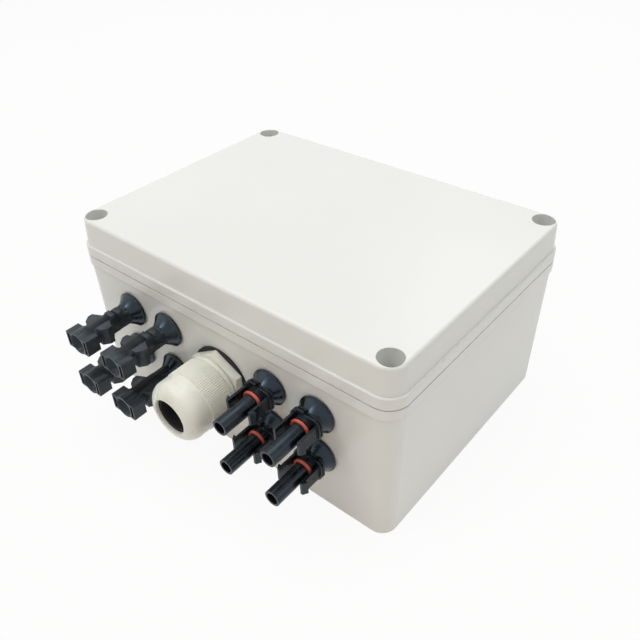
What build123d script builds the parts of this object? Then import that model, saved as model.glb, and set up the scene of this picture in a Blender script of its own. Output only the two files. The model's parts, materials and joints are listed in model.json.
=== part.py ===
from build123d import *
import os
from math import atan2, cos, degrees, radians, sin, sqrt, tan

os.makedirs("parts", exist_ok=True)

# A wall-mounted junction box for four solar strings.
# The origin is the centre of the underside. +Z is up and the connectors face -Y.
# Wall-mounted pieces are modelled about their own axis, with z = 0 on the outer face
# of the front wall, +z out of the box, +x to the right and +y up the wall.

# Enclosure
box_width = 240.0
box_depth = 178.5
base_height = 96.0
lid_height = 24.4
corner_radius = 12.5
wall = 3.0
floor_thickness = 3.0
rim_height = 7.2
rim_step = 1.0
draft_inset = 2.0
bottom_round = 1.6
least_radius = 0.5
shadow_depth = 1.2
shadow_height = 0.7

# Lid
lid_ledge_height = 7.05
lid_ledge = 1.3
lid_draft_inset = 0.7
lid_edge_round = 2.2
ledge_round = 0.7
screw_inset = 10.5
well_radius = 6.8
well_wall = 2.0
well_floor_height = 8.0
well_floor_thickness = 2.5

# Seal between lid and base
seal_inset = 2.6
seal_post_radius = 5.8
tongue_thickness = 1.4
tongue_height = 3.0
seal_clearance = 0.3
gasket_gap = 0.1
rib_thickness = 1.4
rib_lift = 1.0

# Corner posts and lid screws
post_radius = 7.2
post_bore_depth = 26.0
post_gap = 0.3
lid_screw_radius = 1.75
lid_screw_length = 30.0
lid_screw_head_radius = 4.4
lid_screw_head_height = 4.0
lid_screw_clearance = 0.2
screw_slot_width = 1.2
screw_slot_depth = 1.4

# Holes for fixing the box to a wall
fixing_inset_x = 17.0
fixing_inset_y = 39.25
fixing_hole_radius = 2.6
fixing_pad_radius = 6.0
fixing_pad_height = 2.0

# Places on the front wall: drops below the rim, and shares of the box's width
plug_row_drop = 34.1
plug_row_pitch = 30.0
socket_row_drop = 35.1
socket_row_pitch = 32.0
column_pitch = 33.0
socket_group_share = -0.24375
plug_group_share = 0.2354
gland_share = 0.0042
gland_drop = 34.1

# Solar connectors: the parts that sockets and plugs share
flare_radius = 11.4
flare_lip = 0.9
flare_height = 8.0
neck_radius = 6.2
flare_fullness = 0.58
stub_radius = 6.0
stub_length = 13.0
wall_hole_clearance = 0.4
foot_gasket_thickness = 0.8
foot_gasket_width = 2.4
foot_gasket_setback = 1.2
nut_across_flats = 17.0
nut_thickness = 4.5
contact_radius = 2.9
contact_clearance = 0.05
contact_seat = 13.0
barrel_radius = 2.3
barrel_bore_radius = 1.5
barrel_length = 7.0

# Solar plugs
tube_radius = 4.75
tube_wall = 1.3
tube_tip = 38.5
tube_shoulder = 13.0
tube_recess = 7.0
sleeve_wall = 1.1
oring_section = 1.0
oring_groove = 0.5
oring_place = 14.3
oring_stretch = 0.05
collar_width = 19.0
collar_height = 14.0
collar_corner = 4.0
collar_start = 7.6
collar_thickness = 3.2
collar_groove = 0.8
collar_groove_depth = 1.0
collar_knob_length = 5.0
collar_knob_height = 1.6
arm_offset = 7.0
arm_thickness = 1.5
arm_height = 8.4
arm_tip = 24.8
barb_depth = 1.7
barb_clearance = 0.3

# Solar sockets
bore_clearance = 0.25
bore_wall = 1.7
mouth_squeeze = 0.3
mouth_depth = 4.5
socket_front = 42.6
block_length = 8.6
block_width = 19.6
block_height = 11.4
block_corner = 1.2
block_bulge = 7.3
slot_clearance = 0.2
window_length = 3.6
ear_half_width = 9.7
ear_front_taper = 5.2
ear_flat = 4.4
ear_back_taper = 4.4
bore_floor = 17.0
bore_end_wall = 1.0
pin_radius = 2.0
pin_recess = 12.0
pin_chamfer = 0.8
neck_width = 9.6
neck_height = 10.4
neck_corner = 1.5
neck_sink = 1.5
pad_width = 6.4
pad_length = 3.4
pad_gap = 0.8
pad_height = 0.6
fin_thickness = 1.4
fin_reach = 8.4
keel_width = 2.6
keel_reach = 7.1

# Cable gland
gland_across_flats = 36.0
gland_turn = 2.0
gland_washer_radius = 20.8
gland_washer_thickness = 1.3
gland_thread_radius = 16.0
gland_hole_clearance = 0.2
gland_stub_length = 14.0
gland_hex_height = 5.6
gland_chamfer = 2.2
gland_bore_radius = 12.6
gland_neck_radius = 15.0
gland_neck_length = 13.0
finger_length = 8.0
finger_count = 8
finger_slot = 1.6
finger_step = 0.5
dome_gap = 0.5
dome_radius = 19.1
dome_tip = 41.2
dome_round = 7.5
dome_wall = 2.4
dome_mouth_radius = 11.2
dome_thread_clearance = 0.08
dome_collar_length = 3.0
dome_collar_step = 0.4
dome_grip_length = 15.5
dome_rib_count = 56
dome_rib_depth = 0.35
dome_lip = 1.0
seal_radius = 9.8
seal_length = 20.0
seal_end_gap = 0.4
seal_lip = 0.6
gland_nut_across_flats = 41.0
gland_nut_thickness = 6.0

# Mounting plate
plate_side_gap = 25.0
plate_front_gap = 33.25
plate_rear_gap = 21.25
plate_thickness = 2.0
plate_corner = 4.0
boss_height = 7.0
boss_radius = 4.5
boss_inset = 8.0
plate_screw_radius = 1.9
plate_screw_length = 8.0
plate_screw_head_radius = 3.6
plate_screw_head_height = 2.2
plate_screw_clearance = 0.2

# Top-hat rail
rail_length = 92.0
rail_end_gap = 1.0
rail_y = 14.0
rail_width = 35.0
rail_channel = 27.0
rail_height = 7.5
rail_thickness = 1.0
rail_screw_inset = 6.0

# Fuse holders
holder_count = 4
holder_pitch = 18.0
holder_gap = 0.5
holder_length = 76.0
holder_height = 42.0
shoulder_height = 26.0
head_length = 54.0
hook_depth = 4.0
hook_thickness = 2.4
hook_lip = 1.6
hook_clearance = 0.2
pocket_width = 13.0
pocket_clearance = 0.2
pivot_drop = 4.5
pivot_inset = 7.6
pin_size = 1.5
pin_clearance = 0.05
pin_reach = 1.6
carrier_reach = 38.2
carrier_depth = 13.8
carrier_back = 4.7
carrier_handle_length = 9.0
carrier_handle_height = 4.5
carrier_handle_step = 1.5
carrier_round = 4.4
reach_clearance = 0.8
fuse_radius = 5.15
fuse_length = 38.0
fuse_clearance = 0.1
fuse_drop = 8.0
fuse_setback = 2.5
terminal_inset = 5.5
terminal_screw_radius = 3.0
terminal_screw_length = 6.0
terminal_clearance = 0.2
terminal_height = 10.0
entry_height = 5.0
entry_width = 9.0
entry_depth = 11.0

# Busbar and terminal bar
busbar_thickness = 2.0
busbar_height = 12.0
busbar_gap = 1.5
busbar_drop = 0.5
prong_width = 7.0
prong_depth = 9.0
bar_y = 10.0
bar_end_gap = 4.0
bar_rail_gap = 8.0
bar_size = 10.0
bar_pitch = 9.5
bar_hole_radius = 3.0
bar_hole_drop = 0.8
bar_screw_radius = 2.5
bar_screw_length = 2.0
bar_screw_head_height = 3.0
bar_foot_width = 12.0
bar_foot_depth = 20.0
bar_foot_height = 14.0
bar_foot_overlap = 6.0

# Worked-out places
top_of_wall = base_height - rim_height
fixing_x = box_width / 2 - fixing_inset_x
fixing_y = box_depth / 2 - fixing_inset_y
draft = degrees(atan2(draft_inset, top_of_wall))
wall_normal = wall * cos(radians(draft))
lid_top = base_height + lid_height
ledge_z = base_height + lid_ledge_height
screw_x = box_width / 2 - screw_inset
screw_y = box_depth / 2 - screw_inset
gasket_bottom = base_height + tongue_height + gasket_gap
well_floor = base_height + well_floor_height
shelf_bottom = well_floor - well_floor_thickness
lid_shank_hole = lid_screw_radius + lid_screw_clearance
tube_bore = tube_radius - tube_wall
bore_radius = tube_radius + bore_clearance
oring_radius = tube_radius - oring_groove + oring_stretch + oring_section
mouth_radius = oring_radius + oring_section - mouth_squeeze
plate_width = box_width - 2 * plate_side_gap
plate_depth = box_depth - plate_front_gap - plate_rear_gap
plate_y = (plate_front_gap - plate_rear_gap) / 2
plate_bottom = floor_thickness + boss_height
plate_top = plate_bottom + plate_thickness
boss_x = plate_width / 2 - boss_inset
boss_y = plate_depth / 2 - boss_inset
rail_x = (plate_width - rail_length) / 2 - rail_end_gap
bar_length = plate_width - rail_length - rail_end_gap - bar_rail_gap - bar_end_gap
bar_x = (bar_length - plate_width) / 2 + bar_end_gap
holder_bottom = plate_top + rail_height
holder_top = holder_bottom + holder_height
pivot_y = rail_y - head_length / 2 + pivot_inset
pivot_z = holder_top - pivot_drop


def corners(x, y):
    return [(x, y), (-x, y), (-x, -y), (x, -y)]


def outline(inset, width=box_width, depth=box_depth):
    radius = max(corner_radius - inset, least_radius)
    return RectangleRounded(width - 2 * inset, depth - 2 * inset, radius)


def slab(sketch, bottom, top):
    return extrude(Pos(0, 0, bottom) * sketch, top - bottom)


def turned(*points):
    """Solid of revolution about z from (radius, z) points."""
    return revolve(make_face(Polyline(*[(r, 0, z) for r, z in points], close=True)), Axis.Z)


def tube(outer, inner, bottom, top):
    ring = Circle(outer) - Circle(inner)
    return slab(ring, bottom, top)


def rod(radius, bottom, top):
    return slab(Circle(radius), bottom, top)


def block(width, depth, bottom, top):
    return slab(Rectangle(width, depth), bottom, top)


def on_front_wall(x, z):
    y = rim_step - box_depth / 2 + (top_of_wall - z) * tan(radians(draft))
    outward = (0, -cos(radians(draft)), -sin(radians(draft)))
    return Plane(origin=(x, y, z), x_dir=(1, 0, 0), z_dir=outward)


def group_places(share, drop, row_pitch):
    """Upper left, upper right, lower left and lower right place of a connector group."""
    middle_x = share * box_width
    middle_z = top_of_wall - drop
    places = []
    for z in (middle_z + row_pitch / 2, middle_z - row_pitch / 2):
        for x in (middle_x - column_pitch / 2, middle_x + column_pitch / 2):
            places.append(on_front_wall(x, z))
    return places


socket_places = group_places(socket_group_share, socket_row_drop, socket_row_pitch)
plug_places = group_places(plug_group_share, plug_row_drop, plug_row_pitch)
gland_place = on_front_wall(gland_share * box_width, top_of_wall - gland_drop)


# Enclosure
def seal_region(offset):
    """Area inside the seal line, which runs round the inner side of each screw post."""
    area = outline(seal_inset + offset)
    for x, y in corners(screw_x, screw_y):
        area -= Pos(x, y) * Circle(seal_post_radius + offset)
    return area


def make_base_shell():
    skirt = Pos(0, 0, top_of_wall) * outline(rim_step)
    shell = extrude(skirt, top_of_wall, dir=(0, 0, -1), taper=draft)
    bottom_edges = shell.faces().sort_by(Axis.Z)[0].edges()
    shell = fillet(bottom_edges, bottom_round)
    shell += slab(outline(0), top_of_wall, base_height)
    shell -= slab(outline(0) - outline(shadow_depth), base_height - shadow_height, base_height)
    hollow = slab(outline(rim_step + wall), top_of_wall, base_height)
    hollow_mouth = Pos(0, 0, top_of_wall) * outline(rim_step + wall)
    hollow += extrude(hollow_mouth, top_of_wall - floor_thickness, dir=(0, 0, -1), taper=draft)
    for x, y in corners(screw_x, screw_y):
        hollow -= Pos(x, y) * rod(post_radius, 0, base_height)
    shell -= hollow
    shell += slab(seal_region(0) - seal_region(tongue_thickness), base_height, base_height + tongue_height)
    for x, y in corners(screw_x, screw_y):
        shell -= Pos(x, y) * rod(lid_shank_hole, base_height - post_bore_depth, base_height)
    for x, y in corners(boss_x, boss_y):
        boss = tube(boss_radius, plate_screw_radius, floor_thickness, plate_bottom)
        shell += Pos(x, y + plate_y) * boss
    for x, y in corners(fixing_x, fixing_y):
        shell += Pos(x, y) * rod(fixing_pad_radius, floor_thickness, floor_thickness + fixing_pad_height)
        shell -= Pos(x, y) * rod(fixing_hole_radius, 0, floor_thickness + fixing_pad_height)
    for place in socket_places + plug_places:
        shell -= place * rod(stub_radius + wall_hole_clearance, -2 * wall, wall)
    shell -= gland_place * rod(gland_thread_radius + gland_hole_clearance, -2 * wall, wall)
    return shell


def make_lid():
    foot = Pos(0, 0, ledge_z) * outline(lid_ledge)
    lid_taper = degrees(atan2(lid_draft_inset, lid_top - ledge_z))
    cap = extrude(foot, lid_top - ledge_z, taper=lid_taper)
    cap = fillet(cap.faces().sort_by(Axis.Z)[-1].edges(), lid_edge_round)
    hollow_foot = Pos(0, 0, ledge_z) * outline(lid_ledge + wall)
    hollow = extrude(hollow_foot, lid_top - wall - ledge_z, taper=lid_taper)
    for x, y in corners(screw_x, screw_y):
        hollow -= Pos(x, y) * rod(well_radius + well_wall, ledge_z, lid_top)
    band = slab(outline(0), base_height, ledge_z)
    band = fillet(band.faces().sort_by(Axis.Z)[-1].edges(), ledge_round)
    band -= slab(outline(seal_inset - seal_clearance), base_height, shelf_bottom)
    band -= slab(seal_region(tongue_thickness + seal_clearance + rib_thickness), shelf_bottom, ledge_z)
    rib_outer = seal_region(tongue_thickness + seal_clearance)
    rib_inner = seal_region(tongue_thickness + seal_clearance + rib_thickness)
    lid = cap - hollow + band + slab(rib_outer - rib_inner, base_height + rib_lift, shelf_bottom)
    for x, y in corners(screw_x, screw_y):
        lid += Pos(x, y) * rod(seal_post_radius - seal_clearance, base_height + post_gap, well_floor)
        lid -= Pos(x, y) * rod(well_radius, well_floor, lid_top)
        lid -= Pos(x, y) * rod(lid_shank_hole, base_height, well_floor)
    return lid


def make_lid_gasket():
    channel = seal_region(-seal_clearance) - seal_region(tongue_thickness + seal_clearance)
    return slab(channel, gasket_bottom, shelf_bottom)


def slotted_screw(radius, length, head_radius, head_height):
    """Cheese-head screw, seated under its head at z = 0."""
    screw = rod(radius, -length, 0) + rod(head_radius, 0, head_height)
    slot = block(2 * head_radius, screw_slot_width, head_height - screw_slot_depth, head_height)
    return screw - slot


def make_lid_screws():
    screw = slotted_screw(lid_screw_radius, lid_screw_length, lid_screw_head_radius, lid_screw_head_height)
    return [Pos(x, y, well_floor) * screw for x, y in corners(screw_x, screw_y)]


# Solar connectors
def flared_foot():
    """Trumpet-shaped foot, seated on its gasket, with the stub that passes through the wall."""
    seat = foot_gasket_thickness
    waist = flare_radius - flare_fullness * (flare_radius - neck_radius)
    foot = Polyline((flare_radius, 0, seat + flare_lip), (flare_radius, 0, seat), (0, 0, seat),
                    (0, 0, flare_height), (neck_radius, 0, flare_height))
    trumpet = ThreePointArc((neck_radius, 0, flare_height), (waist, 0, (flare_height + seat) / 2),
                            (flare_radius, 0, seat + flare_lip))
    return revolve(make_face(foot + trumpet), Axis.Z) + rod(stub_radius, -stub_length, seat)


def contact_bore():
    return rod(contact_radius + contact_clearance, -stub_length, contact_seat)


def make_plug_housing():
    """Housing with a ringed tube, and two latch arms rooted in a grooved collar."""
    collar_end = collar_start + collar_thickness
    knob = Rectangle(collar_knob_length, 2 * collar_knob_height, align=(Align.MIN, Align.CENTER))
    knob = Pos(collar_corner - collar_width / 2, collar_height / 2) * knob
    plate = RectangleRounded(collar_width, collar_height, collar_corner) + knob + Rot(0, 0, 180) * knob
    groove_start = collar_start + (collar_thickness - collar_groove) / 2
    groove = slab(plate - offset(plate, -collar_groove_depth), groove_start, groove_start + collar_groove)
    housing = flared_foot() + slab(plate, collar_start, collar_end) - groove
    housing += rod(neck_radius, collar_end, tube_shoulder)
    housing += rod(tube_radius, tube_shoulder, tube_tip)
    catch = tube_shoulder + block_length + barb_clearance
    for side in (1, -1):
        inner = side * arm_offset
        outer = side * (arm_offset + arm_thickness)
        barb = side * (arm_offset + arm_thickness + barb_depth)
        arm = make_face(Polyline(
            (inner, 0, collar_start), (inner, 0, arm_tip), (outer, 0, arm_tip),
            (barb, 0, catch), (outer, 0, catch),
            (outer, 0, collar_start), close=True))
        housing += extrude(arm, arm_height / 2, both=True)
    groove_start = oring_place - oring_section
    groove_end = oring_place + oring_section
    housing -= tube(neck_radius, tube_radius - oring_groove, groove_start, groove_end)
    housing -= rod(tube_bore, contact_seat, tube_tip)
    return housing - contact_bore()


def make_plug_oring():
    return Pos(0, 0, oring_place) * Torus(oring_radius, oring_section)


def make_plug_contact():
    tip = tube_tip - tube_recess
    contact = rod(contact_radius, -stub_length, contact_seat)
    contact += rod(tube_bore - contact_clearance, contact_seat, tip)
    contact += rod(barrel_radius, -stub_length - barrel_length, -stub_length)
    contact -= rod(tube_bore - contact_clearance - sleeve_wall, contact_seat, tip)
    return contact - rod(barrel_bore_radius, -stub_length - barrel_length, -stub_length)


def make_socket_neck():
    """Neck behind the bore, with grip pads above, a keel below and a tapered fin on each side."""
    neck_end = bore_floor - bore_end_wall
    neck = slab(RectangleRounded(neck_width, neck_height, neck_corner), flare_height - neck_sink, bore_floor)
    for number in range(2):
        pad_start = neck_end - (number + 1) * pad_length - number * pad_gap
        pad = Pos(0, neck_height / 2) * Rectangle(pad_width, 2 * pad_height)
        neck += slab(pad, pad_start, pad_start + pad_length)
    fin_root = flare_height / 2
    fins = Polyline((-fin_reach, 0, fin_root), (fin_reach, 0, fin_root), (bore_radius, 0, bore_floor),
                    (-bore_radius, 0, bore_floor), close=True)
    neck += extrude(make_face(fins), fin_thickness / 2, both=True)
    keel = Pos(0, -keel_reach / 2) * Rectangle(keel_width, keel_reach)
    return neck + slab(keel, flare_height - neck_sink, socket_front - block_length)


def make_socket_housing():
    block_start = socket_front - block_length
    ear_start = block_start - window_length
    front = fillet(Rectangle(block_width, block_height).vertices(), block_corner)
    front += Circle(block_bulge)
    housing = flared_foot() + make_socket_neck() + slab(front, block_start, socket_front)
    housing += rod(bore_radius + bore_wall, bore_floor - bore_end_wall, socket_front)
    side = arm_offset - slot_clearance
    ear_points = [
        (side, 0, ear_start),
        (ear_half_width, 0, ear_start - ear_front_taper),
        (ear_half_width, 0, ear_start - ear_front_taper - ear_flat),
        (side, 0, ear_start - ear_front_taper - ear_flat - ear_back_taper)]
    mirrored = [(-x, y, z) for x, y, z in reversed(ear_points)]
    ears = make_face(Polyline(*ear_points, *mirrored, close=True))
    housing += extrude(ears, block_height / 2, both=True)
    slot_width = arm_thickness + 2 * slot_clearance
    slot_height = arm_height + 2 * slot_clearance
    for way in (1, -1):
        slot = Pos(way * (arm_offset + arm_thickness / 2), 0) * Rectangle(slot_width, slot_height)
        housing -= slab(slot, block_start, socket_front)
    housing -= rod(bore_radius, bore_floor, socket_front)
    housing -= rod(mouth_radius, socket_front - mouth_depth, socket_front)
    return housing - rod(contact_radius + contact_clearance, -stub_length, bore_floor)


def make_socket_contact():
    contact = rod(contact_radius, -stub_length, bore_floor)
    pin = rod(pin_radius, bore_floor, socket_front - pin_recess)
    contact += chamfer(pin.edges().sort_by(Axis.Z)[-1], pin_chamfer)
    contact += rod(barrel_radius, -stub_length - barrel_length, -stub_length)
    return contact - rod(barrel_bore_radius, -stub_length - barrel_length, -stub_length)


def make_foot_gasket():
    outer = flare_radius - foot_gasket_setback
    return tube(outer, outer - foot_gasket_width, 0, foot_gasket_thickness)


def make_lock_nut():
    hexagon = RegularPolygon(nut_across_flats / 2, 6, major_radius=False)
    nut = slab(hexagon, -wall_normal - nut_thickness, -wall_normal)
    return nut - rod(stub_radius + contact_clearance, -wall_normal - nut_thickness, -wall_normal)


# Cable gland
def make_gland_body():
    hex_start = gland_washer_thickness
    hex_end = hex_start + gland_hex_height
    hexagon = RegularPolygon(gland_across_flats / 2, 6, major_radius=False, rotation=30 + gland_turn)
    corner = gland_across_flats / sqrt(3)
    body = slab(hexagon, hex_start, hex_end)
    body &= turned((0, hex_start), (corner + 1, hex_start), (corner + 1, hex_end - gland_chamfer),
                   (corner + 1 - gland_chamfer * 2, hex_end), (0, hex_end))
    body += rod(gland_thread_radius, -gland_stub_length, hex_start)
    neck_end = hex_end + gland_neck_length
    body += rod(gland_neck_radius, hex_end, neck_end)
    body += tube(gland_neck_radius - finger_step, gland_bore_radius, neck_end, neck_end + finger_length)
    body -= rod(gland_bore_radius, -gland_stub_length, neck_end)
    for turn in range(finger_count // 2):
        gap = Rectangle(2 * gland_neck_radius + 2, finger_slot)
        body -= Rot(0, 0, turn * 360 / finger_count) * slab(gap, neck_end, neck_end + finger_length)
    return body


def make_gland_washer():
    return tube(gland_washer_radius, gland_thread_radius + gland_hole_clearance, 0, gland_washer_thickness)


def make_gland_dome_nut():
    start = gland_washer_thickness + gland_hex_height + dome_gap
    inner = gland_neck_radius + dome_thread_clearance
    neck_end = gland_washer_thickness + gland_hex_height + gland_neck_length
    collar = start + dome_collar_length
    inner_end = dome_tip - dome_wall
    centre = dome_radius - dome_round
    half = cos(radians(45))
    side = Polyline((centre, 0, dome_tip), (dome_mouth_radius, 0, dome_tip),
                    (dome_mouth_radius, 0, inner_end), (dome_mouth_radius + dome_lip, 0, inner_end),
                    (inner, 0, neck_end + finger_length),
                    (inner, 0, start), (dome_radius - dome_collar_step, 0, start),
                    (dome_radius - dome_collar_step, 0, collar), (dome_radius, 0, collar),
                    (dome_radius, 0, dome_tip - dome_round))
    nose = ThreePointArc((dome_radius, 0, dome_tip - dome_round),
                         (centre + dome_round * half, 0, dome_tip - dome_round * (1 - half)),
                         (centre, 0, dome_tip))
    dome = revolve(make_face(side + nose), Axis.Z)
    around = Circle(dome_radius + dome_rib_depth) - ribbed_outline()
    return dome - slab(around, collar, collar + dome_grip_length)


def ribbed_outline():
    """Ring of flat-topped grip ribs."""
    points = []
    for number in range(4 * dome_rib_count):
        angle = number * 90 / dome_rib_count
        radius = dome_radius if number % 4 in (1, 2) else dome_radius - dome_rib_depth
        points.append(Vector(radius, 0).rotate(Axis.Z, angle))
    return make_face(Polyline(*points, close=True))


def make_gland_seal():
    neck_end = gland_washer_thickness + gland_hex_height + gland_neck_length
    outer = gland_bore_radius - seal_end_gap / 2
    end = dome_tip - dome_wall - seal_end_gap
    lip = neck_end + finger_length
    return turned((seal_radius, end - seal_length), (outer, end - seal_length), (outer, lip),
                  (dome_mouth_radius + seal_lip, end), (seal_radius, end))


def make_gland_lock_nut():
    nut = RegularPolygon(gland_nut_across_flats / 2, 6, major_radius=False, rotation=30)
    nut -= Circle(gland_thread_radius + contact_clearance)
    return slab(nut, -wall_normal - gland_nut_thickness, -wall_normal)


# Mounting plate and rail
def make_mounting_plate():
    plate = RectangleRounded(plate_width, plate_depth, plate_corner)
    for x, y in corners(boss_x, boss_y):
        plate -= Pos(x, y) * Circle(plate_screw_radius + plate_screw_clearance)
    for x in rail_screw_places():
        plate -= Pos(x, rail_y - plate_y) * Circle(plate_screw_radius)
    return Pos(0, plate_y) * slab(plate, plate_bottom, plate_top)


def make_plate_screws():
    screw = slotted_screw(plate_screw_radius - plate_screw_clearance, plate_screw_length,
                          plate_screw_head_radius, plate_screw_head_height)
    return [Pos(x, y + plate_y, plate_top) * screw for x, y in corners(boss_x, boss_y)]


def rail_screw_places():
    reach = rail_length / 2 - rail_screw_inset
    return [rail_x - reach, rail_x + reach]


def make_rail():
    half_width = rail_width / 2
    half_channel = rail_channel / 2
    section = make_face(Polyline(
        (0, -half_width, rail_height), (0, half_width, rail_height),
        (0, half_width, rail_height - rail_thickness), (0, half_channel, rail_height - rail_thickness),
        (0, half_channel, 0), (0, -half_channel, 0),
        (0, -half_channel, rail_height - rail_thickness), (0, -half_width, rail_height - rail_thickness),
        close=True))
    half_inside = half_channel - rail_thickness
    inside = make_face(Polyline(
        (0, -half_inside, rail_height), (0, half_inside, rail_height),
        (0, half_inside, rail_thickness), (0, -half_inside, rail_thickness), close=True))
    rail = Pos(rail_x, rail_y, plate_top) * extrude(section - inside, rail_length / 2, both=True)
    for x in rail_screw_places():
        rail -= Pos(x, rail_y) * rod(plate_screw_radius + plate_screw_clearance, plate_top, holder_bottom)
    return rail


def make_rail_screws():
    screw = slotted_screw(plate_screw_radius, plate_thickness + rail_thickness,
                          plate_screw_head_radius, plate_screw_head_height)
    return [Pos(x, rail_y, plate_top + rail_thickness) * screw for x in rail_screw_places()]


# Fuse holders
def holder_centres():
    return [rail_x + (number - (holder_count - 1) / 2) * holder_pitch for number in range(holder_count)]


def make_fuse_base():
    """Moulded base about the rail's centre line, with a pocket for the hinged carrier."""
    end = holder_length / 2
    head = head_length / 2
    hook_in = rail_width / 2 + hook_clearance
    hook_out = hook_in + hook_thickness
    hook_low = holder_bottom - hook_depth
    side = make_face(Polyline(
        (0, -end, holder_bottom), (0, -end, holder_bottom + shoulder_height),
        (0, -head, holder_bottom + shoulder_height), (0, -head, holder_top), (0, head, holder_top),
        (0, head, holder_bottom + shoulder_height), (0, end, holder_bottom + shoulder_height),
        (0, end, holder_bottom), close=True))
    for way in (1, -1):
        hook = Polyline(
            (0, way * hook_in, holder_bottom), (0, way * hook_out, holder_bottom),
            (0, way * hook_out, hook_low), (0, way * (hook_in - hook_lip), hook_low),
            (0, way * (hook_in - hook_lip), holder_bottom - rail_thickness - hook_clearance),
            (0, way * hook_in, holder_bottom - rail_thickness - hook_clearance), close=True)
        side += make_face(hook)
    width = holder_pitch - holder_gap
    base = extrude(side, width / 2, both=True)
    reach = carrier_reach + reach_clearance
    pivot = pivot_y - rail_y
    pocket_start = pivot - carrier_back - reach_clearance
    pocket_length = reach + carrier_back + reach_clearance
    pocket_floor = pivot_z - carrier_depth - reach_clearance
    pocket = Box(pocket_width, pocket_length, holder_top - pocket_floor,
                 align=(Align.CENTER, Align.MIN, Align.MIN))
    base -= Pos(0, pocket_start, pocket_floor) * pocket
    pin_hole = Cylinder(pin_size + pin_clearance, pocket_width + 2 * pin_reach + 4 * pin_clearance,
                        rotation=(0, 90, 0))
    base -= Pos(0, pivot, pivot_z) * pin_hole
    for way in (1, -1):
        well = rod(terminal_screw_radius + terminal_clearance, holder_bottom + terminal_height,
                   holder_bottom + shoulder_height)
        base -= Pos(0, way * (end - terminal_inset)) * well
        entry = Box(entry_width, entry_depth, entry_height)
        entry_z = holder_bottom + terminal_height - entry_height / 2
        base -= Pos(0, way * (end - entry_depth / 2), entry_z) * entry
    return Pos(0, rail_y) * base


def make_fuse_carrier():
    """Inverted channel that holds the fuse link and swings up about its two pins."""
    top = holder_top - pivot_z
    side = Rectangle(carrier_reach + carrier_back, carrier_depth + top, align=(Align.MIN, Align.MAX))
    side = Pos(-carrier_back, top) * side
    side &= Circle(carrier_reach)
    back_top = side.vertices().sort_by(lambda v: v.X - v.Y)[0]
    side = fillet(back_top, carrier_round)
    handle = Rectangle(carrier_handle_length, carrier_handle_height, align=(Align.MAX, Align.MIN))
    side += Pos(carrier_reach - carrier_handle_step, top) * handle
    width = pocket_width - 2 * pocket_clearance
    carrier = extrude(Plane.YZ * side, width / 2, both=True)
    room = fuse_radius + fuse_clearance
    seat = Box(2 * room, fuse_length + 2 * fuse_clearance, carrier_depth - fuse_drop + room,
               align=(Align.CENTER, Align.MIN, Align.MIN))
    carrier -= Pos(0, -fuse_setback - fuse_clearance, -carrier_depth) * seat
    carrier += Cylinder(pin_size, width + 2 * pin_reach, rotation=(0, 90, 0))
    return Pos(0, pivot_y, pivot_z) * carrier


def make_fuse_link():
    link = Cylinder(fuse_radius, fuse_length, rotation=(90, 0, 0))
    return Pos(0, pivot_y - fuse_setback + fuse_length / 2, pivot_z - fuse_drop) * link


def make_terminal_screws():
    """Clamping screws of the four holders, one at each end, set into their wells."""
    end = holder_length / 2 - terminal_inset
    seat = holder_bottom + terminal_height
    screw = slotted_screw(terminal_screw_radius, busbar_drop, terminal_screw_radius, terminal_screw_length)
    return [Pos(x, rail_y + way * end, seat) * screw for x in holder_centres() for way in (1, -1)]


# Busbar and terminal bar
def make_busbar():
    """Copper comb whose prongs reach under the rear terminal screws of the holders."""
    back = rail_y + holder_length / 2 + busbar_gap
    low = holder_bottom + terminal_height - busbar_thickness - busbar_drop
    high = low + busbar_height
    length = holder_count * holder_pitch - holder_gap
    bar = Box(length, busbar_thickness, high - low, align=(Align.CENTER, Align.MIN, Align.MIN))
    bar = Pos(rail_x, back, low) * bar
    prong = Box(prong_width, prong_depth + busbar_gap, busbar_thickness,
                align=(Align.CENTER, Align.MAX, Align.MIN))
    for x in holder_centres():
        bar += Pos(x, back, low) * prong
    return bar


def bar_ways_x():
    """Places of the wire ways, as many as fit between the bar's two feet."""
    ways = int((bar_length - 2 * bar_foot_width) / bar_pitch)
    return [bar_x + (number - (ways - 1) / 2) * bar_pitch for number in range(ways)]


def make_terminal_bar():
    bottom = plate_top + bar_foot_height - bar_foot_overlap
    bar = Pos(bar_x, bar_y) * block(bar_length, bar_size, bottom, bottom + bar_size)
    for x in bar_ways_x():
        wire_hole = Cylinder(bar_hole_radius, bar_size, rotation=(90, 0, 0))
        bar -= Pos(x, bar_y, bottom + bar_size / 2 - bar_hole_drop) * wire_hole
        bar -= Pos(x, bar_y) * rod(bar_screw_radius, bottom + bar_size / 2, bottom + bar_size)
    return bar


def make_bar_screws():
    top = plate_top + bar_foot_height - bar_foot_overlap + bar_size
    screw = slotted_screw(bar_screw_radius, bar_screw_length, bar_screw_radius, bar_screw_head_height)
    return [Pos(x, bar_y, top) * screw for x in bar_ways_x()]


def make_bar_foot():
    """Insulating foot with a notch that the bar's end lies in."""
    foot = block(bar_foot_width, bar_foot_depth, 0, bar_foot_height)
    notch_floor = bar_foot_height - bar_foot_overlap
    return foot - block(bar_foot_width, bar_size, notch_floor, bar_foot_height)


parts = {
    "base_shell": make_base_shell(),
    "lid": make_lid(),
    "lid_gasket": make_lid_gasket(),
    "lid_screws": make_lid_screws(),
    "gland_body": gland_place * make_gland_body(),
    "gland_washer": gland_place * make_gland_washer(),
    "gland_dome_nut": gland_place * make_gland_dome_nut(),
    "gland_seal": gland_place * make_gland_seal(),
    "gland_lock_nut": gland_place * make_gland_lock_nut(),
    "connector_lock_nuts": [place * make_lock_nut() for place in socket_places + plug_places],
    "mounting_plate": make_mounting_plate(),
    "plate_screws": make_plate_screws(),
    "rail": make_rail(),
    "rail_screws": make_rail_screws(),
    "terminal_screws": make_terminal_screws(),
    "comb_busbar": make_busbar(),
    "terminal_bar": make_terminal_bar(),
    "bar_screws": make_bar_screws(),
}

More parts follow.
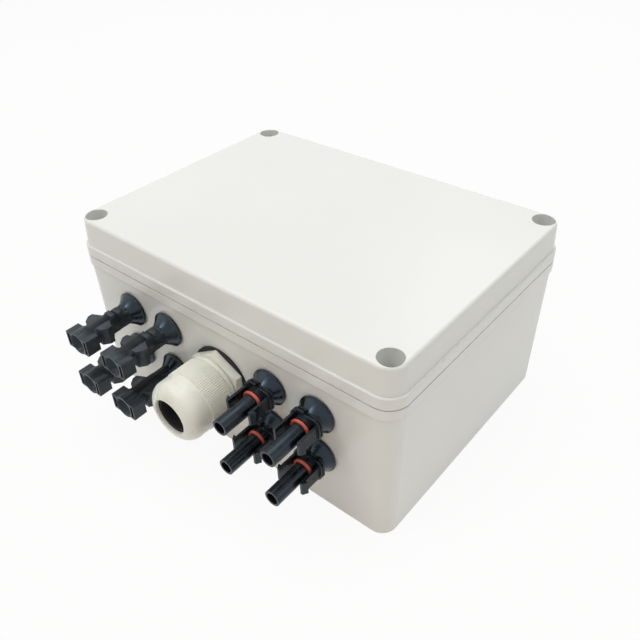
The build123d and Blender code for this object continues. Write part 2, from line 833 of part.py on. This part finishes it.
socket_pieces = {
    "socket_housing": make_socket_housing(),
    "socket_contact": make_socket_contact(),
    "socket_gasket": make_foot_gasket(),
}
plug_pieces = {
    "plug_housing": make_plug_housing(),
    "plug_contact": make_plug_contact(),
    "plug_gasket": make_foot_gasket(),
    "plug_oring": make_plug_oring(),
}
# The lower right socket is fitted the other way up
socket_places[3] = socket_places[3] * Rot(0, 0, 180)
for number, place in enumerate(socket_places):
    for name, piece in socket_pieces.items():
        parts[f"{name}_{number + 1}"] = place * piece
for number, place in enumerate(plug_places):
    for name, piece in plug_pieces.items():
        parts[f"{name}_{number + 1}"] = place * piece

fuse_pieces = {
    "fuse_base": make_fuse_base(),
    "fuse_carrier": make_fuse_carrier(),
    "fuse_link": make_fuse_link(),
}
for number, x in enumerate(holder_centres()):
    for name, piece in fuse_pieces.items():
        parts[f"{name}_{number + 1}"] = Pos(x, 0) * piece

for side, way in (("left", -1), ("right", 1)):
    foot_x = bar_x + way * (bar_length - bar_foot_width) / 2
    parts[f"bar_foot_{side}"] = Pos(foot_x, bar_y, plate_top) * make_bar_foot()

for name, piece in parts.items():
    shape = Compound(children=piece) if isinstance(piece, list) else piece
    export_step(shape, f"parts/{name}.step")
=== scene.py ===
import json
import math

import bpy
from mathutils import Matrix, Vector

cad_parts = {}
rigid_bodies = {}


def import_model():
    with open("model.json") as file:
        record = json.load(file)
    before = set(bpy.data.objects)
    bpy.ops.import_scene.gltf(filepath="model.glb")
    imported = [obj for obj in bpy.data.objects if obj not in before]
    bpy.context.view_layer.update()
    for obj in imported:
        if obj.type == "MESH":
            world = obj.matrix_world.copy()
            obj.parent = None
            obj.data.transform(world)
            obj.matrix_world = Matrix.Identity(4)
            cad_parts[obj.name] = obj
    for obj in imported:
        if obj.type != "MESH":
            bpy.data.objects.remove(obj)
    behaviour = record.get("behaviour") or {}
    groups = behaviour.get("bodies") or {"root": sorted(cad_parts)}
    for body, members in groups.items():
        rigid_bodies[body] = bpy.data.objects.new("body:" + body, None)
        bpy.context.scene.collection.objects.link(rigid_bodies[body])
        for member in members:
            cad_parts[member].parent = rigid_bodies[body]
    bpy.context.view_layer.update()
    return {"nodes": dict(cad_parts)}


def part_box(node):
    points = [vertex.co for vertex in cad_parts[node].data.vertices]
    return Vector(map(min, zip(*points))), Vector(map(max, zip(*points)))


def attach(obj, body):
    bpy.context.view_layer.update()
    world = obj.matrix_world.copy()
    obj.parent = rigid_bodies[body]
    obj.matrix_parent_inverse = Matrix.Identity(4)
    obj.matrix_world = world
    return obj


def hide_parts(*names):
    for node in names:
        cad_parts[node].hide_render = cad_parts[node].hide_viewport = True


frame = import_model()
nodes = frame["nodes"]
bpy.ops.object.select_all(action="DESELECT")


# Base shell and lid: glossy off-white ABS, injection moulded, the lid screwed down
# on the base over a rubber seal. The skin has a faint orange-peel ripple.
def new_material(name):
    """An empty node material, and its shader, output and object-coordinate nodes."""
    material = bpy.data.materials.new(name)
    material.use_nodes = True
    tree = material.node_tree
    shader = tree.nodes["Principled BSDF"]
    place = tree.nodes.new("ShaderNodeTexCoord")
    return material, tree, shader, place.outputs["Object"]


def add_noise(tree, place, scale, detail=3.0):
    """Cloudy pattern between 0 and 1, finer as the scale goes up."""
    noise = tree.nodes.new("ShaderNodeTexNoise")
    noise.inputs["Scale"].default_value = scale
    noise.inputs["Detail"].default_value = detail
    tree.links.new(place, noise.inputs["Vector"])
    return noise.outputs["Fac"]


def add_ramp(tree, factor, low, high, start=0.35, end=0.65):
    """Colour that runs from low to high with the factor."""
    ramp = tree.nodes.new("ShaderNodeValToRGB")
    ramp.color_ramp.elements[0].position = start
    ramp.color_ramp.elements[1].position = end
    ramp.color_ramp.elements[0].color = (*low, 1)
    ramp.color_ramp.elements[1].color = (*high, 1)
    tree.links.new(factor, ramp.inputs["Fac"])
    return ramp.outputs["Color"]


def add_range(tree, factor, low, high):
    """Number that runs from low to high with the factor."""
    spread = tree.nodes.new("ShaderNodeMapRange")
    spread.inputs["From Min"].default_value = 0.3
    spread.inputs["From Max"].default_value = 0.7
    spread.inputs["To Min"].default_value = low
    spread.inputs["To Max"].default_value = high
    tree.links.new(factor, spread.inputs["Value"])
    return spread.outputs["Result"]


def add_bump(tree, shader, height, distance, edge_radius, strength=0.3):
    """Surface grain over edges that a mould or a file leaves slightly round."""
    edge = tree.nodes.new("ShaderNodeBevel")
    edge.samples = 6
    edge.inputs["Radius"].default_value = edge_radius
    bump = tree.nodes.new("ShaderNodeBump")
    bump.inputs["Strength"].default_value = strength
    bump.inputs["Distance"].default_value = distance
    tree.links.new(height, bump.inputs["Height"])
    tree.links.new(edge.outputs["Normal"], bump.inputs["Normal"])
    tree.links.new(bump.outputs["Normal"], shader.inputs["Normal"])


def make_plastic(name, dark, light, rough, clouds, grain, grain_height, gloss=0.5, tint=(1, 1, 1),
                 edge_radius=0.0003):
    """Moulded plastic or rubber: cloudy colour, uneven gloss and a fine grain."""
    material, tree, shader, place = new_material(name)
    cloud = add_noise(tree, place, clouds)
    tree.links.new(add_ramp(tree, cloud, dark, light), shader.inputs["Base Color"])
    tree.links.new(add_range(tree, cloud, *rough), shader.inputs["Roughness"])
    add_bump(tree, shader, add_noise(tree, place, grain), grain_height, edge_radius)
    shader.inputs["Specular IOR Level"].default_value = gloss
    shader.inputs["Specular Tint"].default_value = (*tint, 1)
    return material


def dress(material, *names):
    """Gives the material to each named node of the frame."""
    for name in names:
        nodes[name].data.materials.clear()
        nodes[name].data.materials.append(material)


def numbered(name):
    """The names of four like nodes."""
    return [f"{name}_{number}" for number in range(1, 5)]


enclosure = make_plastic("glossy_off_white_abs", (0.785, 0.79, 0.75), (0.80, 0.805, 0.765), rough=(0.22, 0.27),
                         clouds=9, grain=420, grain_height=0.00006, edge_radius=0.0005)
dress(enclosure, "base_shell", "lid")


# Lid gasket, foot gaskets, gland washer and gland seal: black rubber, cut or moulded,
# squeezed between the parts that they seal.
black_rubber = make_plastic("black_rubber", (0.012, 0.012, 0.012), (0.024, 0.024, 0.023), rough=(0.62, 0.78),
                            clouds=90, grain=900, grain_height=0.00005, gloss=0.3)
dress(black_rubber, "lid_gasket", "gland_washer", "gland_seal", *numbered("socket_gasket"),
      *numbered("plug_gasket"))


# Cable gland: body, dome nut and lock nut of ivory nylon, yellower than the box, moulded.
# The body goes through the front wall, which leans inwards to the floor, and the lock nut
# holds it there from inside.
ivory_nylon = make_plastic("ivory_nylon", (0.765, 0.765, 0.675), (0.82, 0.82, 0.735), rough=(0.22, 0.34),
                           clouds=60, grain=700, grain_height=0.00005)
dress(ivory_nylon, "gland_body", "gland_dome_nut", "gland_lock_nut")

wall_height = 0.0888
wall_inset = 0.0020
wall_lean = math.atan2(wall_inset, wall_height)
wall_out = Vector((0, -math.cos(wall_lean), -math.sin(wall_lean)))
wall_up = Vector((0, -math.sin(wall_lean), math.cos(wall_lean)))
gland_foot = Vector((0.001008, -0.08748, 0.05470))


# Dome nut: ivory nylon, moulded, screwed on the gland body. Fine grip ribs run over its
# rear half between a smooth collar and a rounded, glossy nose with a thin-lipped mouth.
merge_distance = 0.000001


def begin_ring(name, points, height, radius):
    """A circle round z in edit mode, from which a turned piece is drawn."""
    bpy.ops.object.select_all(action="DESELECT")
    bpy.ops.mesh.primitive_circle_add(vertices=points, radius=radius, location=(0, 0, height))
    bpy.ops.object.transform_apply(location=True, rotation=False, scale=False)
    bpy.context.object.name = name
    bpy.ops.object.mode_set(mode="EDIT")
    return bpy.context.object


def pull_rings(rings):
    """Draws the open rim that is selected along z through rings of (height, radius), and closes it."""
    height, radius = rings[0]
    for new_height, new_radius in rings[1:]:
        bpy.ops.mesh.extrude_region_move(TRANSFORM_OT_translate={"value": (0, 0, new_height - height)})
        spread = new_radius / radius
        bpy.ops.transform.resize(value=(spread, spread, 1), center_override=(0, 0, new_height))
        height, radius = new_height, new_radius
    bpy.ops.mesh.select_all(action="SELECT")
    bpy.ops.mesh.remove_doubles(threshold=merge_distance)
    bpy.ops.mesh.normals_make_consistent(inside=False)


def select_points(obj, wanted):
    """Selects the points whose place passes the test, and no others."""
    bpy.ops.mesh.select_mode(type="VERT")
    bpy.ops.mesh.select_all(action="DESELECT")
    bpy.ops.object.mode_set(mode="OBJECT")
    for point in obj.data.vertices:
        point.select = wanted(point.co)
    bpy.ops.object.mode_set(mode="EDIT")


def seat(obj, foot):
    """Turns a piece modelled up z to point out of the wall, moves it to its foot and fixes it there."""
    bpy.ops.object.mode_set(mode="OBJECT")
    obj.rotation_euler = wall_out.to_track_quat("Z", "Y").to_euler()
    obj.location = foot
    bpy.ops.object.transform_apply(location=True, rotation=True, scale=True)


nut_rear = 0.0074
nut_tip = 0.0412
nut_radius = 0.0188
nut_inside = 0.01508
nut_mouth = 0.0112
nose_round = 0.0078
nose_steps = 12
collar_end = 0.0103
collar_radius = nut_radius - 0.0002
collar_chamfer = 0.0004
groove_radius = nut_radius - 0.0006
line_depth = 0.0001
lip_width = 0.0006
lip_depth = 0.0005
seal_stop = 0.0388
seal_stop_radius = 0.0122
seal_cone_end = 0.0279
ribs_start = 0.0108
ribs_end = 0.0259
rib_rings = 4
rib_count = 100
rib_depth = 0.00042
points_per_rib = 4

nut_rings = [(nut_rear, nut_inside), (nut_rear, groove_radius), (nut_rear + collar_chamfer, collar_radius),
             (collar_end, collar_radius), (collar_end, groove_radius),
             (ribs_start, groove_radius), (ribs_start, nut_radius)]
for step in range(1, rib_rings + 1):
    nut_rings.append((ribs_start + (ribs_end - ribs_start) * step / rib_rings, nut_radius))
nut_rings += [(ribs_end + 0.0003, nut_radius - line_depth), (ribs_end + 0.0009, nut_radius - line_depth),
              (ribs_end + 0.0015, nut_radius)]
for step in range(nose_steps):
    turn = math.radians(90 * step / nose_steps)
    nut_rings.append((nut_tip - nose_round + nose_round * math.sin(turn),
                      nut_radius - nose_round + nose_round * math.cos(turn)))
nut_rings += [(nut_tip, nut_mouth + lip_width), (nut_tip - 0.00015, nut_mouth + 0.0002),
              (nut_tip - lip_depth, nut_mouth), (seal_stop, nut_mouth), (seal_stop, seal_stop_radius),
              (seal_cone_end, nut_inside), (nut_rear, nut_inside)]

dome_nut = begin_ring("ribbed_dome_nut", points_per_rib * rib_count, nut_rear, nut_inside)
pull_rings(nut_rings)


def on_a_rib(place):
    """Two of every four points round the ribbed part make a rib's crest."""
    step = round(math.atan2(place.x, place.y) / math.tau * points_per_rib * rib_count) % points_per_rib
    ribbed = ribs_start - 0.00001 < place.z < ribs_end + 0.00001 and place.xy.length > nut_radius - 0.0001
    return step in (1, 2) and ribbed


select_points(dome_nut, on_a_rib)
crest = (nut_radius + rib_depth) / nut_radius
bpy.ops.transform.resize(value=(crest, crest, 1), center_override=(0, 0, 0))
seat(dome_nut, gland_foot)
bpy.ops.object.shade_smooth_by_angle(angle=math.radians(32))
dome_nut.data.materials.append(ivory_nylon)
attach(dome_nut, "dome_nut")
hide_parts("gland_dome_nut")


# Solar sockets: black glass-filled nylon, moulded, with a matt skin that greys a little in
# the light. Each is held through the wall by a nut of the same plastic.
matt_black = make_plastic("matt_black_nylon", (0.015, 0.016, 0.018), (0.030, 0.032, 0.037), rough=(0.34, 0.50),
                          clouds=170, grain=1100, grain_height=0.00006, gloss=0.45, tint=(0.66, 0.84, 1.0))
dress(matt_black, *numbered("socket_housing"), "connector_lock_nuts")

gasket_thickness = 0.0008
ear_reach = 0.0097
ear_root = 0.0068
barrel_radius = 0.0067
same_ring = 0.00005
same_edge = 0.00003
ear_moves = (("front corners", 0.0252, 0.0265), ("back corners", 0.0208, 0.0236),
             ("back roots", 0.0164, 0.0222), ("barrel seam", 0.0164, 0.0205))


def wall_foot(gasket):
    """Where the axis of the connector that presses this gasket leaves the wall."""
    low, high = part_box(gasket)
    return (low + high) / 2 - wall_out * gasket_thickness / 2


def new_piece(name, mesh):
    """An object with its own copy of the mesh, the only one selected."""
    bpy.ops.object.select_all(action="DESELECT")
    piece = bpy.data.objects.new(name, mesh.copy())
    bpy.context.scene.collection.objects.link(piece)
    piece.select_set(True)
    bpy.context.view_layer.objects.active = piece
    return piece


def part_of_ear(name, side, up):
    """Whether a point so far to the side and up from the axis belongs to that part of an ear."""
    if name == "back roots":
        return abs(side - ear_root) < same_edge
    if name == "barrel seam":
        return abs(math.hypot(side, up) - barrel_radius) < same_edge
    return side > ear_reach - 0.0001


# The ears are swept back to a blunt point, as the moulds of these sockets leave them.
for number in range(1, 5):
    housing = f"socket_housing_{number}"
    foot = wall_foot(f"socket_gasket_{number}")
    shell = new_piece(f"socket_shell_{number}", nodes[housing].data)
    bpy.ops.object.mode_set(mode="EDIT")
    bpy.ops.mesh.select_all(action="SELECT")
    bpy.ops.mesh.remove_doubles(threshold=merge_distance)
    for name, old, new in ear_moves:
        def wanted(place):
            offset = place - foot
            on_ring = abs(offset.dot(wall_out) - old) < same_ring
            return on_ring and part_of_ear(name, abs(offset.x), offset.dot(wall_up))
        select_points(shell, wanted)
        bpy.ops.transform.translate(value=wall_out * (new - old))
    bpy.ops.object.mode_set(mode="OBJECT")
    bpy.ops.object.shade_smooth_by_angle(angle=math.radians(30))
    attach(shell, "enclosure")
    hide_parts(housing)


# Grip blocks on the socket necks: three raised blocks, moulded in one with each neck and
# barrel. The fourth socket is turned over, so its blocks point down.
block_width = 0.0076
block_edge = 0.0003
block_taper = (0.80, 1, 0.90)
block_rows = (
    {"rear": 0.0074, "fore": 0.0097, "root": 0.0046, "top": 0.00625},
    {"rear": 0.0103, "fore": 0.0145, "root": 0.0046, "top": 0.00635},
    {"rear": 0.0156, "fore": 0.0194, "root": 0.0054, "top": 0.00705})

bpy.ops.object.select_all(action="DESELECT")
for row, block_row in enumerate(block_rows):
    rear, fore, root, top = block_row.values()
    bpy.ops.mesh.primitive_cube_add(size=1, location=(0, (root + top) / 2, (rear + fore) / 2),
                                    scale=(block_width, top - root, fore - rear))
    block = bpy.context.object
    block.name = f"neck_block_{row}"
    bpy.ops.object.transform_apply(location=True, rotation=False, scale=True)
    bpy.ops.object.mode_set(mode="EDIT")
    select_points(block, lambda place: place.y > root + 0.0005)
    bpy.ops.transform.resize(value=block_taper, center_override=(0, top, (rear + fore) / 2))
    bpy.ops.mesh.select_all(action="SELECT")
    bpy.ops.mesh.bevel(offset=block_edge, segments=2, affect="EDGES")
    bpy.ops.object.mode_set(mode="OBJECT")

for row in range(len(block_rows)):
    bpy.data.objects[f"neck_block_{row}"].select_set(True)
bpy.context.view_layer.objects.active = bpy.data.objects["neck_block_0"]
bpy.ops.object.join()
bpy.ops.object.shade_smooth_by_angle(angle=math.radians(40))
neck_blocks = bpy.context.object
neck_blocks.data.materials.append(matt_black)

for number in range(1, 5):
    blocks = new_piece(f"neck_blocks_{number}", neck_blocks.data)
    if number == 4:
        blocks.rotation_euler = (0, 0, math.pi)
        bpy.ops.object.transform_apply(location=False, rotation=True, scale=False)
    seat(blocks, wall_foot(f"socket_gasket_{number}"))
    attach(blocks, "enclosure")
bpy.data.objects.remove(neck_blocks)


# Solar plugs: the same nylon, moulded with a smoother, glossier skin, which shows a blue
# sheen. Each is held through the wall as the sockets are.
satin_black = make_plastic("satin_black_nylon", (0.004, 0.0045, 0.006), (0.011, 0.012, 0.015), rough=(0.20, 0.34),
                           clouds=160, grain=1100, grain_height=0.00005, gloss=0.44, tint=(0.62, 0.82, 1.0))
dress(satin_black, *numbered("plug_housing"))


# Flared feet of the sockets and plugs: nearly straight glossy cones with fine lengthwise
# flutes from the mould's polishing, moulded in one with each housing.
glossy_black = make_plastic("glossy_black_flare", (0.005, 0.006, 0.008), (0.011, 0.013, 0.017), rough=(0.16, 0.30),
                            clouds=220, grain=1300, grain_height=0.00003, gloss=0.55, tint=(0.60, 0.80, 1.0))
flare_rear = 0.00085
flare_front = 0.0076
flare_inside = 0.0060
brim_radius = 0.01146
flute_count = 60
flute_share = 0.992
cone_rings = [(0.0019, 0.01105), (0.0030, 0.01000), (0.0045, 0.00872), (0.0060, 0.00760), (flare_front, 0.00655)]
brim_rings = [(flare_rear, 0.01132), (0.0010, brim_radius), (0.0016, brim_radius), (0.0018, 0.0112)]

flare = begin_ring("flare", 2 * flute_count, flare_rear, flare_inside)
pull_rings([(flare_rear, flare_inside)] + brim_rings + cone_rings
           + [(flare_front, flare_inside), (flare_rear, flare_inside)])


def in_a_flute(place):
    """Every second point of the cone's rings, short of its front edge."""
    step = round(math.atan2(place.x, place.y) / math.tau * 2 * flute_count) % 2
    on_cone = 0.00185 < place.z < 0.0070 and place.xy.length > flare_inside + 0.0001
    return step == 1 and on_cone


select_points(flare, in_a_flute)
bpy.ops.transform.resize(value=(flute_share, flute_share, 1), center_override=(0, 0, 0))
bpy.ops.object.mode_set(mode="OBJECT")
bpy.ops.object.shade_smooth_by_angle(angle=math.radians(38))
flare.data.materials.append(glossy_black)

for kind in ("plug", "socket"):
    for number in range(1, 5):
        cone = new_piece(f"{kind}_flare_{number}", flare.data)
        seat(cone, wall_foot(f"{kind}_gasket_{number}"))
        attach(cone, "enclosure")
bpy.data.objects.remove(flare)


# O-rings: orange silicone, moulded as a round cord and rolled over each plug's tube into
# its groove, where they stay a little stretched.
orange_rubber = make_plastic("orange_silicone", (0.42, 0.075, 0.045), (0.54, 0.115, 0.07), rough=(0.35, 0.5),
                             clouds=200, grain=900, grain_height=0.00003)
dress(orange_rubber, *numbered("plug_oring"))


# Contacts: turned copper with a bright tin plating, a pin in each socket and a sleeve in
# each plug, pushed into the housings from inside the box.
def make_metal(name, dark, light, rough, scratches, stretch=(1, 1, 1)):
    """Bare or plated metal with stretched scratches in its gloss and surface."""
    material, tree, shader, place = new_material(name)
    mapping = tree.nodes.new("ShaderNodeMapping")
    mapping.inputs["Scale"].default_value = stretch
    tree.links.new(place, mapping.inputs["Vector"])
    marks = add_noise(tree, mapping.outputs["Vector"], scratches, detail=6.0)
    tree.links.new(add_ramp(tree, marks, dark, light), shader.inputs["Base Color"])
    tree.links.new(add_range(tree, marks, *rough), shader.inputs["Roughness"])
    add_bump(tree, shader, marks, distance=0.00002, edge_radius=0.0001)
    shader.inputs["Metallic"].default_value = 1.0
    return material


tinned_copper = make_metal("tin_plated_copper", (0.62, 0.61, 0.58), (0.78, 0.77, 0.74), rough=(0.2, 0.38),
                           scratches=700)
dress(tinned_copper, *numbered("socket_contact"), *numbered("plug_contact"))


# Mounting plate and rail: galvanised sheet on the bosses of the floor, and a passivated
# strip rolled to a top-hat section on the plate. Zinc-plated screws hold both down.
plate_steel = make_metal("galvanised_sheet", (0.50, 0.51, 0.52), (0.68, 0.69, 0.70), rough=(0.35, 0.55),
                         scratches=60)
dress(plate_steel, "mounting_plate")
rail_steel = make_metal("passivated_strip", (0.58, 0.55, 0.45), (0.72, 0.69, 0.60), rough=(0.25, 0.4),
                        scratches=90, stretch=(0.08, 1, 1))
dress(rail_steel, "rail")
screw_steel = make_metal("zinc_plated_screw", (0.55, 0.56, 0.58), (0.72, 0.73, 0.74), rough=(0.22, 0.4),
                         scratches=500)
dress(screw_steel, "lid_screws", "plate_screws", "rail_screws", "terminal_screws", "bar_screws")


# Fuse holders: light grey moulded bases clipped on the rail, with a hinged carrier each
# that holds a ceramic fuse link.
grey_plastic = make_plastic("matt_grey_plastic", (0.42, 0.43, 0.42), (0.48, 0.49, 0.48), rough=(0.45, 0.6),
                            clouds=40, grain=800, grain_height=0.00006)
dress(grey_plastic, *numbered("fuse_base"), *numbered("fuse_carrier"))
fuse_ceramic = make_plastic("white_ceramic", (0.74, 0.73, 0.69), (0.80, 0.79, 0.76), rough=(0.15, 0.3),
                            clouds=150, grain=600, grain_height=0.00003)
dress(fuse_ceramic, *numbered("fuse_link"))


# Comb busbar and terminal bar: a punched copper strip under the holders' terminal screws,
# and a drilled brass bar on two moulded insulating feet.
copper = make_metal("bare_copper", (0.55, 0.25, 0.13), (0.72, 0.38, 0.22), rough=(0.25, 0.45),
                    scratches=120, stretch=(0.1, 1, 1))
dress(copper, "comb_busbar")
brass = make_metal("bare_brass", (0.62, 0.46, 0.18), (0.78, 0.62, 0.30), rough=(0.25, 0.42),
                   scratches=120, stretch=(0.1, 1, 1))
dress(brass, "terminal_bar")
dress(grey_plastic, "bar_foot_left", "bar_foot_right")


# Camera: at the place and turn that the lid's screw wells, the ledge, the seam and the
# corners of the box give in the photograph.
camera_place = Vector((0.24446, -0.28823, 0.33121))
azimuth = math.radians(40.879)
elevation = math.radians(35.764)
roll = math.radians(-1.88)
back = Vector((math.sin(azimuth) * math.cos(elevation), -math.cos(azimuth) * math.cos(elevation),
               math.sin(elevation)))
level_right = Vector((0, 0, 1)).cross(back).normalized()
level_up = back.cross(level_right)
right = math.cos(roll) * level_right + math.sin(roll) * level_up
up = math.cos(roll) * level_up - math.sin(roll) * level_right
bpy.ops.object.camera_add(location=camera_place)
camera = bpy.context.object
camera.matrix_world = Matrix.Translation(camera_place) @ Matrix((right, up, back)).transposed().to_4x4()
camera.data.sensor_width = 36
camera.data.lens = 40.19
camera.data.shift_x = 0.0134
camera.data.shift_y = -0.0309
camera.data.clip_start = 0.01
bpy.context.scene.camera = camera


# Floor: a plain pale sheet under the box. The camera and mirrors see it as white, and it
# keeps a soft shadow.
bpy.ops.mesh.primitive_plane_add(size=12, location=(0, 0, -0.0002))
floor = bpy.context.object
floor.name = "floor"
floor_paint, floor_tree, floor_shader, floor_coordinates = new_material("pale_floor")
floor_shader.inputs["Roughness"].default_value = 0.9
floor_clouds = add_noise(floor_tree, floor_coordinates, 3)
floor_colour = add_ramp(floor_tree, floor_clouds, (0.79, 0.775, 0.75), (0.82, 0.80, 0.78))
floor_tree.links.new(floor_colour, floor_shader.inputs["Base Color"])
white = floor_tree.nodes.new("ShaderNodeEmission")
white.inputs["Color"].default_value = (1, 1, 1, 1)
white.inputs["Strength"].default_value = 1.0


def seen_directly(tree):
    """1 where the camera, a mirror or a glass looks, and 0 for light that falls on the box."""
    path = tree.nodes.new("ShaderNodeLightPath")
    seen = path.outputs["Is Camera Ray"]
    for kind in ("Is Glossy Ray", "Is Transmission Ray"):
        either = tree.nodes.new("ShaderNodeMath")
        either.operation = "MAXIMUM"
        tree.links.new(seen, either.inputs[0])
        tree.links.new(path.outputs[kind], either.inputs[1])
        seen = either.outputs["Value"]
    return seen


white_share = floor_tree.nodes.new("ShaderNodeMath")
white_share.operation = "MULTIPLY"
white_share.inputs[1].default_value = 0.92
floor_tree.links.new(seen_directly(floor_tree), white_share.inputs[0])
floor_mix = floor_tree.nodes.new("ShaderNodeMixShader")
floor_tree.links.new(white_share.outputs["Value"], floor_mix.inputs["Fac"])
floor_tree.links.new(floor_shader.outputs["BSDF"], floor_mix.inputs[1])
floor_tree.links.new(white.outputs["Emission"], floor_mix.inputs[2])
floor_tree.links.new(floor_mix.outputs["Shader"], floor_tree.nodes["Material Output"].inputs["Surface"])
floor.data.materials.append(floor_paint)


# Light: a white room, five soft lamps, and a warm card low in front that throws a little
# light up on the front wall. The card doesn't show in glossy surfaces.
world = bpy.data.worlds.new("room")
bpy.context.scene.world = world
world.use_nodes = True
room = world.node_tree
sky = room.nodes["Background"]
sky.inputs["Color"].default_value = (1.0, 1.0, 1.0, 1)
sky.inputs["Strength"].default_value = 0.28
backdrop = room.nodes.new("ShaderNodeBackground")
backdrop.inputs["Color"].default_value = (1.0, 1.0, 1.0, 1)
backdrop.inputs["Strength"].default_value = 1.0
room_mix = room.nodes.new("ShaderNodeMixShader")
room.links.new(seen_directly(room), room_mix.inputs["Fac"])
room.links.new(sky.outputs["Background"], room_mix.inputs[1])
room.links.new(backdrop.outputs["Background"], room_mix.inputs[2])
room.links.new(room_mix.outputs["Shader"], room.nodes["World Output"].inputs["Surface"])

for name, place, size, power, colour in (
        ("ceiling_lamp", (-0.25, -0.2, 1.6), 1.8, 18.5, (1.0, 0.99, 0.98)),
        ("window_lamp", (-0.5, -0.9, 1.3), 0.3, 2.0, (0.93, 0.97, 1.0)),
        ("rear_lamp", (-0.1, 0.95, 1.25), 1.0, 4.0, (0.95, 0.98, 1.0)),
        ("left_lamp", (-1.5, -1.4, 1.0), 1.2, 2.0, (1.0, 0.99, 0.98)),
        ("right_lamp", (1.6, 0.2, 0.9), 1.0, 4.0, (0.94, 0.97, 1.0)),
        ("warm_card", (0.35, -0.75, 0.06), 0.3, 0.5, (1.0, 0.62, 0.30))):
    bpy.ops.object.light_add(type="AREA", location=place)
    lamp = bpy.context.object
    lamp.name = name
    lamp.data.size = size
    lamp.data.energy = power
    lamp.data.color = colour
    lamp.rotation_euler = Vector(place).to_track_quat("Z", "Y").to_euler()
    lamp.visible_glossy = name != "warm_card"

bpy.context.scene.view_settings.view_transform = "Standard"
